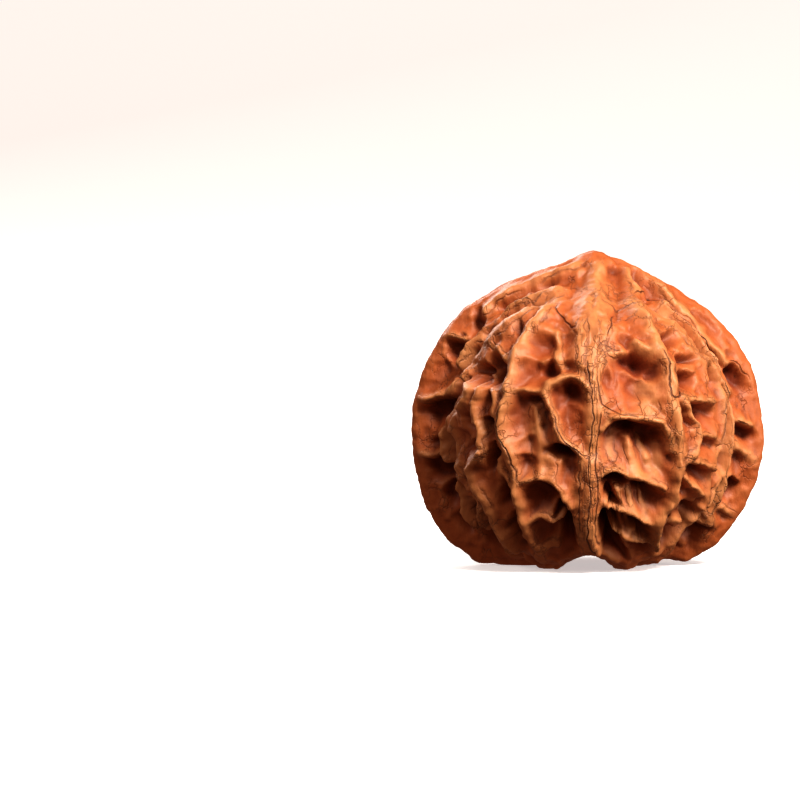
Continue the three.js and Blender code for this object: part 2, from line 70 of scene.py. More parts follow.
# Ribs that run in to the scar below, and pleats that run up to the tip. Both are spaced unevenly
# and twisted alike.
rootRibs = {"count": 7, "height": 0.5, "inner": 4.5, "outer": 9}
neckRibs = {"count": 9, "height": 0.35, "inner": 3, "outer": 11}
spokeShape = {"uneven": 1.3, "start": 0.7, "twist": 0.25, "sink": 0.6}

relief = {
    "cells": 126,  # quads along each edge of the six patches
    "droop": 0.15,  # how far the relief hangs over, as a share of its height
    "overhang": 0.7,  # how much deeper a hollow is under its upper lip
    "overhangAside": 0.2,  # and how much deeper towards its right
    "depthShare": 0.78,  # the depths in the lists are laid at this share
    "steepest": 2.2,  # deepest hollow, as a multiple of its mean half size
    "hollowSpread": 1.2,  # how far a hollow's rim lies, as a multiple of its size in the list
    "roundness": 1.35,  # how softly a hollow begins at its rim
    "footing": 1.1,  # height of the broad foot that a rib stands on
    "footingSpread": 2.6,  # and its width, as a multiple of the rib's
    "valley": 0.75,  # how far the ground between the ribs lies below the smooth body
    "sightSide": 0.03,  # slant of the line along which a half's relief is laid
    "sightRise": 0.052,
    "flankCentre": 10,  # how far from the seam the middle of the relief on a flank lies
    "wander": 0.28,  # how far the drawn lists are bent out of true
    "wanderSize": 2.2,
    "fray": 0.17,  # and how far their edges are frayed
    "fraySize": 0.9,
    "ragged": 0.12,  # how unevenly the hollows' rims run
    "raggedSize": 1.3,
    "ribRagged": 2.2,  # and the ribs' sides, as a multiple of it
    "lumps": 0.3,  # low lumps all over, and their size
    "lumpSize": 2.6,
    "veins": 0.18,  # thin raised threads, and the size of their net
    "veinSize": 2.3,
    "wrinkles": 0.24,  # wrinkles that run down the nut, their size and how drawn out they are
    "wrinkleSize": 0.9,
    "wrinkleStretch": 0.3,
    "wrinkleBend": 0.8,  # and how they are bent aside
    "wrinkleBendSize": 1.8,
    "fine": 0.09,  # the finest roughness
    "fineSize": 0.6,
    "suture": 0.3,  # groove along the rim of the blade, its half width and how it wanders
    "sutureHalfWidth": 0.3,
    "sutureWander": 0.15,
    "sutureWanderSize": 3,
    "patchSize": 2.6,  # size of the patches where the fine lines show
    "toneSize": 2.4,  # and of those where the colours of hollows and crests vary
}

# One seed for each wobble.
seeds = {
    "wander": (1, 2),
    "fray": (21, 22),
    "ragged": 3,
    "lumps": 4,
    "veins": 5,
    "fine": 6,
    "suture": 7,
    "wrinkleBend": 8,
    "wrinkles": 9,
    "netPatch": 12,
    "edgePatch": 13,
    "hollowTone": 14,
    "crestTone": 15,
}

# Dips where the deep colour paints shade, and proud parts where the crest colour paints light:
# rounds of averaging, and the depth below the average that counts as full.
dips = {"narrow": (6, 0.25), "middle": (40, 0.9), "broad": (160, 3)}

# Rim of the seam blade: degrees above the level, then millimetres from the middle.
rimRight = [
    [-90, 16.6], [-80, 17.2], [-72, 18.6], [-63, 20.2], [-53, 21.8], [-41, 22.6], [-28, 22.7],
    [-19, 22.8], [-8, 22.75], [5, 22.3], [16, 22.3], [28, 22.0], [42, 21.4], [55, 20.8], [68, 20.7],
    [79, 21.0], [90, 21.6],
]

rimLeft = [
    [-90, 16.6], [-80, 17.2], [-74, 18.3], [-61, 20.7], [-50, 22.6], [-38, 23.2], [-26, 23.0],
    [-15, 22.7], [-5, 22.5], [5, 22.35], [14, 22.1], [29, 21.9], [42, 21.6], [55, 21.0], [68, 20.7],
    [79, 20.6], [90, 21.6],
]

# Hollows of the front half: across, up, half width, half height, turn in degrees, depth.
frontHollows = [
    # Right of the middle rib, from the top down.
    [4.9, 28.3, 1.5, 1.1, -40, 1.2], [5.5, 23.6, 3.6, 4.0, -8, 1.5],
    [6.0, 25.3, 2.8, 1.7, -22, 3.0], [8.5, 24.0, 0.9, 1.7, 0, 2.2], [6.4, 21.7, 2.0, 2.7, 0, 2.0],
    [2.9, 22.9, 1.2, 2.2, 5, 1.1], [3.3, 31.3, 0.8, 1.4, -15, 0.5], [8.4, 30.6, 0.8, 1.8, 10, 0.4],
    [3.3, 15.0, 2.0, 3.2, 8, 2.0], [8.0, 14.6, 2.7, 3.8, 15, 3.0], [5.0, 17.0, 3.0, 1.6, -3, 3.6],
    [3.6, 10.7, 2.0, 1.2, 0, 4.2], [6.7, 9.6, 1.4, 1.0, -25, 3.8], [7.0, 8.2, 2.7, 2.2, -15, 1.6],
    [2.8, 8.9, 0.9, 1.6, 0, 2.4], [2.8, 4.0, 1.6, 4.6, -6, 8.0], [3.3, 1.2, 1.7, 2.4, 0, 6.0],
    [6.0, 4.9, 2.4, 1.4, -30, 3.4], [6.6, 2.5, 1.8, 1.6, -20, 2.8],
    # Between the inner and the outer rib on the right.
    [10.4, 28.7, 1.5, 1.1, 0, 2.0], [10.4, 26.8, 0.8, 0.7, 0, 0.6], [12.5, 26.2, 1.1, 0.8, 0, 1.5],
    [12.7, 23.4, 1.4, 1.5, 0, 2.8], [14.6, 19.0, 2.2, 2.3, 0, 3.2], [15.2, 15.0, 1.6, 1.4, 0, 2.2],
    [14.4, 11.4, 2.1, 1.7, -20, 2.6], [14.2, 10.3, 1.6, 1.5, 0, 0.9],
    [12.3, 9.8, 1.0, 2.1, 35, 2.4], [12.6, 6.7, 1.9, 1.3, -10, 2.0], [9.9, 11.6, 0.6, 1.0, 10, 0.5],
    [10.6, 13.6, 0.5, 1.3, 0, 1.2], [9.7, 6.6, 0.6, 1.2, 15, 1.6], [9.9, 3.6, 1.3, 1.8, 0, 2.4],
    [12.9, 4.1, 1.6, 1.9, 0, 2.0], [14.7, 4.4, 1.2, 0.9, 20, 2.6], [10.6, 1.9, 1.5, 0.9, 0, 1.4],
    [12.2, 18.5, 0.7, 2.0, 15, 1.5],
    # Seam blade on the right.
    [16.4, 26.1, 0.8, 2.4, 32, 1.0], [19.4, 23.4, 1.3, 2.8, 34, 2.4],
    [17.7, 20.7, 0.8, 1.1, 20, 1.0], [19.6, 16.8, 2.3, 1.3, -22, 2.0],
    [18.9, 13.5, 2.2, 1.4, -38, 0.7], [17.9, 9.5, 1.5, 1.9, 15, 3.4],
    [17.6, 6.0, 1.9, 1.1, -30, 0.6], [15.0, 30.8, 2.4, 1.0, -36, 0.6],
    # Under the tip.
    [3.2, 36.9, 1.0, 2.2, 22, 0.8], [6.4, 36.2, 1.1, 1.9, 42, 0.8], [9.3, 34.0, 0.8, 2.8, 50, 0.9],
    [-5.5, 35.0, 3.6, 1.0, 14, 0.8], [-1.0, 37.6, 0.5, 1.5, 0, 0.4],
    # Left of the middle rib, from the top down.
    [-5.9, 27.6, 2.3, 1.8, -15, 1.4], [-4.9, 27.6, 1.5, 1.7, 0, 1.5],
    [-2.7, 28.2, 1.8, 2.6, 10, 1.3], [-6.6, 24.0, 2.7, 2.1, 0, 1.1], [-4.8, 24.3, 1.6, 1.7, 0, 2.3],
    [-2.3, 25.0, 1.2, 1.0, 0, 0.9], [-2.6, 18.8, 2.4, 4.8, 12, 1.1], [-1.8, 21.4, 1.9, 2.5, 6, 2.2],
    [-8.2, 18.2, 2.1, 3.6, 5, 1.4], [-6.7, 20.5, 1.8, 1.3, 0, 1.8], [-5.0, 18.0, 1.2, 3.4, 12, 2.3],
    [-7.4, 15.2, 1.2, 1.7, 0, 1.3], [-7.6, 12.8, 1.2, 1.5, 30, 1.3],
    [-3.4, 14.2, 2.0, 1.3, -15, 4.0], [-2.0, 12.0, 1.2, 2.8, 5, 1.8],
    [-5.0, 9.6, 2.2, 1.3, -20, 4.8], [-5.8, 8.2, 2.6, 2.2, 0, 2.0], [-3.5, 4.9, 1.7, 1.3, -20, 4.0],
    [-5.2, 3.9, 2.2, 2.0, 0, 1.6], [-2.5, 4.0, 1.3, 4.0, 10, 5.0],
    # Between the inner and the outer rib on the left.
    [-8.5, 29.3, 0.5, 1.6, -12, 1.2], [-11.3, 24.6, 1.2, 2.2, 0, 4.0],
    [-13.3, 24.9, 1.2, 1.0, 0, 2.0], [-13.3, 23.2, 1.2, 1.5, 0, 1.2],
    [-12.1, 20.8, 0.8, 1.2, 0, 1.3], [-12.1, 17.3, 1.4, 1.5, 0, 3.4],
    [-14.4, 17.8, 0.7, 1.5, 10, 1.5], [-14.2, 15.0, 1.3, 1.1, 0, 3.2],
    [-16.2, 15.7, 1.1, 1.8, 15, 1.3], [-11.3, 13.4, 0.7, 2.4, 8, 2.6],
    [-9.4, 8.7, 1.0, 2.7, 16, 4.2], [-8.3, 4.4, 0.9, 2.7, 24, 3.0],
    [-14.3, 11.2, 0.8, 1.7, 10, 2.3], [-12.6, 7.2, 1.2, 3.0, 24, 3.6],
    [-11.2, 3.4, 1.3, 2.4, 40, 2.2],
    # Seam blade on the left.
    [-16.4, 27.1, 1.8, 2.3, 0, 3.2], [-13.7, 30.6, 1.0, 2.6, 3, 1.4],
    [-9.2, 32.7, 2.0, 1.2, 20, 1.2], [-18.3, 19.5, 3.0, 2.0, 4, 4.4],
    [-16.3, 21.0, 1.5, 1.1, 30, 1.8], [-15.6, 22.9, 1.1, 1.8, 0, 1.6],
    [-18.6, 15.6, 1.6, 1.0, 20, 1.3], [-18.0, 11.9, 2.4, 2.4, 0, 4.6],
    [-17.1, 8.2, 1.4, 2.6, 12, 2.8], [-15.6, 5.2, 1.8, 1.5, -35, 2.4],
    [-18.9, 24.8, 1.3, 1.8, 0, 0.8],
]

# Ribs of the front half: half width, height, how much of a hollow they fill, then the crest.
frontRibs = [
    # The ridge under the tip, then the middle rib and the two strands that it grows from.
    [1.1, 0.35, 1, [[0.9, 40], [0.7, 38], [0.5, 36], [0.7, 34.4]]],
    [2.2, 0.3, 1, [[1.0, 34.4], [0.8, 31], [0.5, 27]]],
    [1.0, 0.3, 1, [[0.9, 33], [0.8, 30], [0.6, 26], [0.6, 22], [0.8, 18], [0.9, 14.5], [0.7, 11]]],
    [1.3, 0.5, 1, [[0.7, 13], [0.3, 10.5], [0.1, 8], [0.3, 5.4], [0.7, 3], [0.9, 1]]],
    [0.6, 0.2, 0.9, [[-0.2, 14.4], [-0.9, 11.5], [-1.2, 9], [-1.0, 6.5], [-0.6, 4]]],
    [0.8, 0.15, 1, [[-0.2, 32], [-0.8, 29], [-0.9, 26.5], [-0.4, 24], [0.3, 21.5]]],
    [0.8, 0.15, 1, [[2.0, 32.5], [2.1, 29], [1.8, 26], [1.2, 23], [1.2, 20.5], [2.2, 19.4]]],
    # Right: inner rib, outer rib and the leaf-shaped fold between them.
    [0.7, 0.55, 0.95, [[5.4, 33.4], [7.4, 30.6], [8.7, 28], [9.8, 25.4], [10.3, 23], [10.8, 20],
        [11.2, 17.4], [11.4, 15], [11.5, 12.8], [10.9, 10.4], [9.9, 8], [8.9, 5.8], [8.4, 3.6],
        [8.7, 1.3]]],
    [0.6, 0.6, 1, [[9.4, 32.6], [12, 30], [14, 27.6], [15.6, 25], [16.6, 22.6], [17.2, 20],
        [17.4, 17], [17.2, 14.4], [16.9, 12], [16.4, 9.8], [15.6, 7.6], [15.3, 5.4]]],
    [0.55, 0.45, 0.9, [[11.7, 21.4], [12.6, 20], [13.5, 18.3], [13.8, 16.6], [13.5, 15.3],
        [12.4, 13.8], [11.6, 12.4]]],
    [0.7, 0.1, 0.35, [[5.2, 15.4], [5.6, 14.3], [6.1, 12.8], [6.8, 11.3]]],
    [0.7, 0.05, 0.18, [[7.3, 15.8], [7.9, 14.2], [8.1, 12.6]]],
    [0.6, 0.05, 0.2, [[9.4, 15.2], [9.4, 13.7], [9.0, 12.1]]],
    [0.7, 0.05, 0.18, [[3.4, 16.6], [3.0, 15.2], [3.3, 13.8]]],
    [0.55, 0.45, 0.7, [[12.1, 11.3], [13.2, 10.1], [14.4, 9.2], [15.6, 8.7]]],
    # Right: lips over the hollows.
    [0.5, 0.15, 0.9, [[2.0, 27.9], [2.8, 27.3], [3.6, 27.0], [4.4, 27.2]]],
    [0.5, 0.35, 0.9, [[5.9, 28.5], [6.8, 27.9], [8, 27.5], [9, 26.7]]],
    [0.55, 0.4, 0.9, [[1.9, 17.2], [3.0, 18.7], [5, 19.1], [7, 19.1], [8.9, 18.4], [10.1, 17],
        [10.7, 15]]],
    [0.5, 0.45, 0.9, [[1.7, 11.7], [2.6, 12.3], [3.6, 12.5], [4.6, 12.0], [5.2, 11.3], [6, 11.5],
        [7.2, 10.9], [8.6, 10.7], [9.6, 10.4]]],
    [0.5, 0.45, 0.9, [[2.1, 8.6], [2.7, 7.7], [3.2, 7.8], [4.4, 7.3], [5.7, 6.8], [6.6, 6.1],
        [7.6, 5.6], [8.6, 5.3]]],
    [0.5, 0.35, 0.9, [[3.6, 4.7], [4.6, 4.1], [5.8, 3.4], [7.0, 3.1], [8.2, 3.3]]],
    [0.5, 0.2, 0.9, [[12.0, 21.5], [13.6, 21.2], [15.4, 21.1], [17, 21.2]]],
    [0.5, 0.2, 0.9, [[13.5, 17.0], [15, 16.5], [16.6, 16.1]]],
    [0.5, 0.2, 0.9, [[12.3, 13.6], [13.6, 13.3], [15, 12.9], [16.6, 12.5]]],
    [1.4, 0.05, 0.3, [[7.9, 22.6], [8.0, 21.4], [7.8, 20.2]]],
    [0.5, 0.2, 0.9, [[9.6, 6.2], [10.8, 6.1], [12.4, 5.8], [14, 5.7]]],
    [0.45, 0.1, 0.45, [[3.9, 9.8], [3.9, 8.4], [4.4, 7.2]]],
    [0.45, 0.1, 0.45, [[5.2, 9.6], [5.4, 8.3], [5.8, 7.0]]],
    [0.5, 0.1, 0.45, [[7.0, 9.2], [7.2, 7.7], [7.4, 6.2]]],
    [0.5, 0.1, 0.4, [[5.4, 5.6], [5.7, 4.6], [6.3, 3.6]]],
    # Left: inner rib, outer rib and the belly's edge.
    [0.65, 0.6, 0.95, [[-3.4, 34.4], [-5.2, 32], [-6.8, 29.8], [-8.2, 27.6], [-9.2, 25],
        [-9.5, 22.5], [-10, 20], [-10.4, 17.8], [-9.9, 15.6], [-9, 13.6], [-8.6, 11.3], [-8.7, 9],
        [-7.9, 6.5], [-7, 4.3], [-6.1, 2.2], [-5.5, 0.8]]],
    [0.6, 0.75, 0.95, [[-12.6, 14.8], [-13.8, 12.8], [-13.3, 11], [-12.1, 9], [-10.7, 6.6],
        [-9.5, 4.3], [-8.4, 2], [-7, 0.4]]],
    [0.55, 0.65, 0.95, [[-12.7, 28.7], [-13.9, 27.9], [-15, 26.5], [-15.3, 24.6], [-14.8, 23],
        [-14.2, 22.2], [-14.8, 20.9], [-16.4, 18.8], [-17.6, 16.4], [-17.5, 14.3], [-16.2, 13.1],
        [-15.7, 11.3], [-15.4, 9.4], [-14.6, 7.2], [-13.6, 5.4]]],
    [1.0, 0.75, 0.9, [[-4.2, 33.9], [-6.5, 33], [-8.7, 31.5], [-10.6, 29.9], [-12, 28.8]]],
    [0.45, 0.4, 0.9, [[-12.0, 28.4], [-10.9, 26.9], [-9.8, 25.8], [-9.5, 24]]],
    [0.5, 0.6, 0.9, [[-13.0, 22.4], [-13.6, 20.4], [-13.2, 18.6], [-12.9, 16.8], [-12.6, 14.8]]],
    [0.5, 0.5, 0.8, [[-11.2, 22], [-11.1, 19.4], [-10.6, 18]]],
    [0.55, 0.55, 0.8, [[-10.8, 13.8], [-10.3, 12.2], [-9.2, 10.8]]],
    # Left: lips over the hollows.
    [0.55, 0.45, 0.9, [[0.1, 22.6], [-0.7, 23.5], [-1.9, 23.9], [-3.4, 23.8], [-4.6, 22.9],
        [-5.1, 21.8], [-4.6, 19.8], [-3.9, 17.6], [-3.2, 16.1], [-1.7, 14.9], [-0.2, 14]]],
    [0.6, 0.15, 0.65, [[-3.9, 29.6], [-3.9, 28.2], [-3.6, 26.6], [-3.1, 25.4]]],
    [0.5, 0.3, 0.8, [[-9.2, 22.1], [-7.4, 22.2], [-6, 22], [-5.1, 22]]],
    [1.5, 0.1, 0.45, [[-6.6, 19.4], [-6.3, 18.4], [-6.4, 17], [-6.5, 16.2], [-6.0, 14.5],
        [-5.3, 13.2], [-5.2, 12.2], [-5.8, 11.5]]],
    [0.5, 0.5, 0.9, [[-8.6, 10.9], [-7, 11.3], [-5.6, 11.5], [-4.5, 11], [-3.5, 10.1], [-2.8, 8.9],
        [-2.2, 7.6]]],
    [0.5, 0.4, 0.9, [[-7, 6], [-5.8, 6.5], [-4.6, 6.6], [-3.8, 6.3], [-2.8, 6.6]]],
    [0.4, 0.1, 0.5, [[-6.3, 2.9], [-5.3, 2.6], [-4.4, 2.9], [-3.6, 2.6]]],
    # Folds along the seam blade.
    [0.7, 0.5, 0.8, [[-1, 38.9], [-5, 37.1], [-8, 35.8], [-10.6, 34.4], [-12.8, 32.4]]],
    [0.55, 0.4, 0.9, [[-18.2, 29.2], [-16.8, 29.2], [-15.4, 28.8]]],
    [0.5, 0.4, 0.9, [[-21, 21.4], [-19.4, 21.6], [-17.6, 22.2], [-16.6, 23.2]]],
    [0.5, 0.4, 0.9, [[-21.2, 14.2], [-19.6, 14], [-18.4, 14.2]]],
    [0.6, 0.4, 0.8, [[4.3, 38.6], [5, 36.6], [6, 35]]],
    [0.6, 0.4, 0.8, [[7, 37.6], [9, 35.7], [11, 33.6], [13, 31.4], [14.6, 29.6], [16.4, 27.4],
        [17.8, 25.9]]],
    [0.5, 0.4, 0.9, [[18, 18.6], [19.4, 18.5], [21, 17.8]]],
    [0.7, 0.25, 0.7, [[17.6, 15.9], [19, 15.1], [20.8, 14.0], [22, 12.8]]],
    [0.6, 0.3, 0.7, [[16.4, 7.7], [17.8, 7.2], [19.2, 6.2]]],
]

# Fine cracks of the front half, along ribs and under lips: strength, then places across and up.
frontCracks = [
    [0.8, [[16.9, 18.6], [17.0, 16.8], [16.9, 15.2], [16.7, 13.6]]],
    [0.8, [[1.5, 34.7], [2.1, 34.3], [2.7, 33.9], [3.1, 33.3], [3.6, 32.5], [4.3, 32.5],
        [5.1, 32.9], [6.0, 33.1], [7.3, 33.3], [8.2, 33.0]]],
    [1.0, [[3.6, 32.5], [3.3, 31.8], [3.0, 31.0], [2.8, 30.2], [2.5, 29.7], [2.5, 28.8]]],
    [1.0, [[0.1, 26.2], [0.15, 24.8], [0.3, 23.6], [0.6, 22.4], [0.7, 20.8], [0.6, 18.4],
        [0.5, 15], [0.3, 12], [0.2, 8.6], [0.1, 6.8], [0.3, 4.5], [0.8, 2.2]]],
    [0.8, [[1.3, 24.3], [1.4, 23.2], [1.5, 21.8], [1.8, 20.6], [2.6, 19.8], [3.9, 19.4],
        [5.4, 19.4], [6.6, 19.2]]],
    [1.0, [[5.5, 34.3], [6.9, 35.0], [8.3, 34.2], [9.4, 33.4], [10.3, 32.6], [10.9, 31.8],
        [11.8, 31.0], [12.8, 30.2]]],
    [1.0, [[13.7, 29.9], [14.1, 29.2], [15.1, 28.5], [15.9, 27.4], [16.4, 26.2], [16.9, 25.2],
        [17.3, 24.6]]],
    [1.0, [[9.0, 27.4], [9.4, 26.3], [9.7, 25], [9.9, 23.8], [10.0, 22.6], [10.3, 21.6],
        [10.8, 21.2], [11.4, 21.4], [11.5, 22.2], [11.3, 23.4], [10.9, 24.7], [10.5, 25.9]]],
    [0.7, [[15.0, 26], [15.3, 24.9], [15.9, 24.1], [16.4, 23.3], [16.8, 22.3], [17.0, 21.2],
        [17.2, 20.2]]],
    [0.6, [[18.6, 18.9], [19.6, 18.2], [20.8, 17.9]]],
    [0.7, [[18.1, 26.3], [19.2, 26.1], [20.0, 25.0], [20.8, 24.2], [21.3, 23.1]]],
    [0.7, [[16.8, 13.1], [16.7, 11.9], [17, 10.5], [16.5, 9.4], [15.9, 8.6], [15.5, 7.5],
        [15.2, 6.5]]],
    [0.9, [[9.3, 6.0], [10.1, 6.5], [10.5, 7.3], [11.0, 7.9], [11.2, 8.4]]],
    [0.9, [[0.6, 14.4], [-0.2, 14.2], [-1.2, 14.7], [-2.2, 15.3], [-3.1, 16.2], [-3.6, 17.3],
        [-4.1, 18.6], [-4.5, 19.8]]],
    [1.0, [[1.5, 20], [1.4, 17], [1.3, 14], [1.2, 11], [1.0, 8], [1.2, 5], [1.6, 2.4]]],
    [0.8, [[-0.9, 12.6], [-1.1, 10], [-0.9, 7], [-0.5, 4.6]]],
    [0.9, [[-9.9, 20.5], [-10.3, 19.2], [-10.4, 18], [-10.2, 16.6], [-9.7, 15.3], [-9, 13.9],
        [-8.5, 12.5], [-8.3, 11.3]]],
    [0.9, [[-3.4, 34.4], [-3.7, 33.2], [-3.8, 32.1], [-3.2, 31.7], [-2.8, 31.1], [-2.1, 30.6],
        [-1.2, 30.3]]],
    [0.7, [[-9.4, 26], [-9.5, 24.5], [-9.7, 22.8]]],
    [0.8, [[-8.2, 30.4], [-8.5, 29.5], [-8.7, 28.6]]],
    [0.7, [[-6.4, 31.6], [-6.9, 30.5], [-7.4, 29.4], [-7.9, 28.6]]],
    [0.7, [[-21.4, 21.2], [-20.4, 20.8], [-19.8, 20.6]]],
    [0.7, [[-17.8, 29.5], [-16.6, 29.3], [-15.6, 29.2]]],
]

# The back half is another half of the same kind: the front's lists are turned over and bent out
# of place together, and each hollow gets its own size and depth from a seeded row of draws.
back = {
    "seed": 4711,
    "asideUp": [1.7, 5.3, 1.2],  # reach, wave length and start
    "asideAcross": [0.9, 3.9, 0.4],
    "aboveAcross": [1.4, 4.6, 2.3],
    "aboveUp": [1.1, 5.9, 3.0],
}


def smoothStep(value, low, high):
    share = np.clip((value - low) / (high - low), 0, 1)
    return share * share * (3 - 2 * share)


# The larger or the smaller of two lengths, with the corner between them rounded.
def softMax(a, b, blend):
    return np.maximum(a, b) + np.maximum(blend - abs(a - b), 0) ** 2 / (4 * blend)


def softMin(a, b, blend):
    return np.minimum(a, b) - np.maximum(blend - abs(a - b), 0) ** 2 / (4 * blend)


# Value at each angle, eased between the knots of a list.
def eased(knots, angle):
    at, value = np.array(knots, float).T
    i = np.clip(np.searchsorted(at, angle), 1, len(at) - 1)
    share = smoothStep(angle, at[i - 1], at[i])
    return value[i - 1] + (value[i] - value[i - 1]) * share


# Smooth noise from -1 to 1: a seeded value at each corner of a net of cells of that size, eased
# between the corners.
def wobble(places, size, seed):
    corners = np.random.default_rng(seed).uniform(-1, 1, (32, 32, 32))
    cell = np.floor(places / size).astype(int)
    part = places / size - cell
    part = part * part * (3 - 2 * part)
    total = np.zeros(len(places))
    for corner in range(8):
        step = np.array([corner & 1, corner >> 1 & 1, corner >> 2 & 1])
        i, j, k = ((cell + step) % 32).T
        total += np.prod(np.where(step, part, 1 - part), axis=1) * corners[i, j, k]
    return total


# Seeded draws between two limits.
def drawsFrom(seed):
    state = seed

    def draw(low, high):
        nonlocal state
        state = state * 16807 % 2147483647
        return low + (high - low) * state / 2147483647

    return draw


# A place of the front turned over to the back and bent out of place, less so near the rim.
def bent(across, up):
    def wave(shape, along):
        reach, length, start = shape
        return reach * math.sin(along / length + start)

    calm = float(smoothStep(21 - abs(across), 0, 6))
    aside = wave(back["asideUp"], up) + wave(back["asideAcross"], across)
    above = wave(back["aboveAcross"], across) + wave(back["aboveUp"], up)
    return [-across + calm * aside, up + calm * above]


def backHalf():
    draw = drawsFrom(back["seed"])
    hollows = [
        [
            *bent(across, up),
            halfWidth * draw(0.85, 1.2),
            halfHeight * draw(0.85, 1.25),
            draw(-12, 12) - turn,
            depth * draw(0.7, 1.25),
        ]
        for across, up, halfWidth, halfHeight, turn, depth in frontHollows
    ]
    ribs = [
        [halfWidth, rise, fill, [bent(*place) for place in crest]]
        for halfWidth, rise, fill, crest in frontRibs
    ]
    cracks = [[strength, [bent(*place) for place in line]] for strength, line in frontCracks]
    return {"hollows": hollows, "ribs": ribs, "cracks": cracks}


halves = {
    "front": {"hollows": frontHollows, "ribs": frontRibs, "cracks": frontCracks},
    "back": backHalf(),
}


# Height of the underside: a channel that runs from front to back, a round scar, and a slight rise
# towards the front and the back.
def underside(x, y):
    channel = body["archRise"] * np.exp(-((x / body["archHalfWidth"]) ** 2))
    scar = body["navelRise"] * np.exp(-(x * x + y * y) / body["navelHalfWidth"] ** 2)
    return channel + scar - body["footSink"] + body["rocker"] * smoothStep(abs(y), 5, 14)


# Distance from the middle to the smooth body along unit directions. The belly is a rounded box
# between its circle in the seam plane and its depth, the blade a wedge inside the rim's outline,
# and the tip a cone; the larger counts, with the corners rounded, and the underside cuts it off.
def bodyReach(d):
    x, y, z = d.T
    top = np.where(z > 0, body["bellyTop"], body["bellyBase"])
    level = np.hypot(x / body["bellySide"], z / top)
    n = body["bellyFullness"]
    belly = (level**n + abs(y / body["bellyFront"]) ** n) ** (-1 / n)
    inPlane = np.maximum(1e-6, np.hypot(x, z))
    angle = np.degrees(np.arctan2(z, abs(x)))
    side = smoothStep(x / inPlane, -0.12, 0.12)
    rim = eased(rimLeft, angle) * (1 - side) + eased(rimRight, angle) * side
    face = (body["bladeEdge"] + body["bladeSlope"] * rim) / (abs(y) + body["bladeSlope"] * inPlane)
    shoulder = body["shoulderBlend"] + body["topBlend"] * smoothStep(z, 0.55, 0.95)
    reach = softMax(belly, softMin(face, rim / inPlane, body["rimBlend"]), shoulder)
    tip = body["tipStart"] - body["tipFall"] * np.hypot(x, y)
    reach = np.where(z > 0, softMax(reach, tip, body["tipBlend"]), reach)
    down = 1 / np.maximum(-z, 0.5)
    foot = body["middle"] * down
    ground = (body["middle"] - underside(x * foot, y * foot)) * down
    return np.where(z < -0.5, softMin(reach, ground, body["groundBlend"]), reach)


def bodyPoint(d):
    d = d / np.linalg.norm(d, axis=1, keepdims=True)
    return d * bodyReach(d)[:, None]


# Outward normal of the smooth body, from two short steps across the direction.
def bodyNormal(d, step=0.004):
    across = np.stack([-d[:, 1], d[:, 0], np.zeros(len(d))], axis=1)
    across[np.hypot(d[:, 0], d[:, 1]) < 1e-3] = (1, 0, 0)
    across /= np.linalg.norm(across, axis=1, keepdims=True)
    along = np.cross(d, across)
    slopes = [bodyPoint(d + way * step) - bodyPoint(d - way * step) for way in (across, along)]
    normal = np.cross(*slopes)
    return normal / np.linalg.norm(normal, axis=1, keepdims=True)


# Depth of the hollows: each is a bowl, steep and deep under its upper lip and shallow towards its
# lower rim; where they lie over one another the deepest wins.
def hollowDepth(hollows, across, up, ragged):
    total = np.zeros(len(across))
    for x, z, halfWidth, halfHeight, turn, depth in hollows:
        c, s = math.cos(math.radians(turn)), math.sin(math.radians(turn))
        u = ((across - x) * c + (up - z) * s) / halfWidth
        v = ((up - z) * c - (across - x) * s) / halfHeight
        out = np.hypot(u, v)
        power = 2.1 + v / np.maximum(out, 1e-6)
        out = out / relief["hollowSpread"] * (1 + ragged)
        steepest = relief["steepest"] * math.sqrt(halfWidth * halfHeight)
        deep = min(relief["depthShare"] * depth, steepest)
        bowl = (1 - np.minimum(out, 1) ** power) ** relief["roundness"]
        bowl *= deep * (1 + relief["overhang"] * v + relief["overhangAside"] * u)
        total += np.maximum(bowl, 0) ** 6
    return total ** (1 / 6)


# Distance to a line through places, and on which side of it each vertex lies.
def lineDistance(line, across, up):
    nearest = np.full(len(across), np.inf)
    side = np.ones(len(across))
    for (x0, z0), (x1, z1) in zip(line, line[1:]):
        ex, ez = x1 - x0, z1 - z0
        share = np.clip(((across - x0) * ex + (up - z0) * ez) / (ex * ex + ez * ez), 0, 1)
        dx, dz = across - x0 - share * ex, up - z0 - share * ez
        far = np.hypot(dx, dz)
        nearer = far < nearest
        nearest = np.where(nearer, far, nearest)
        side = np.where(nearer, np.sign(ex * dz - ez * dx), side)
    return nearest, side


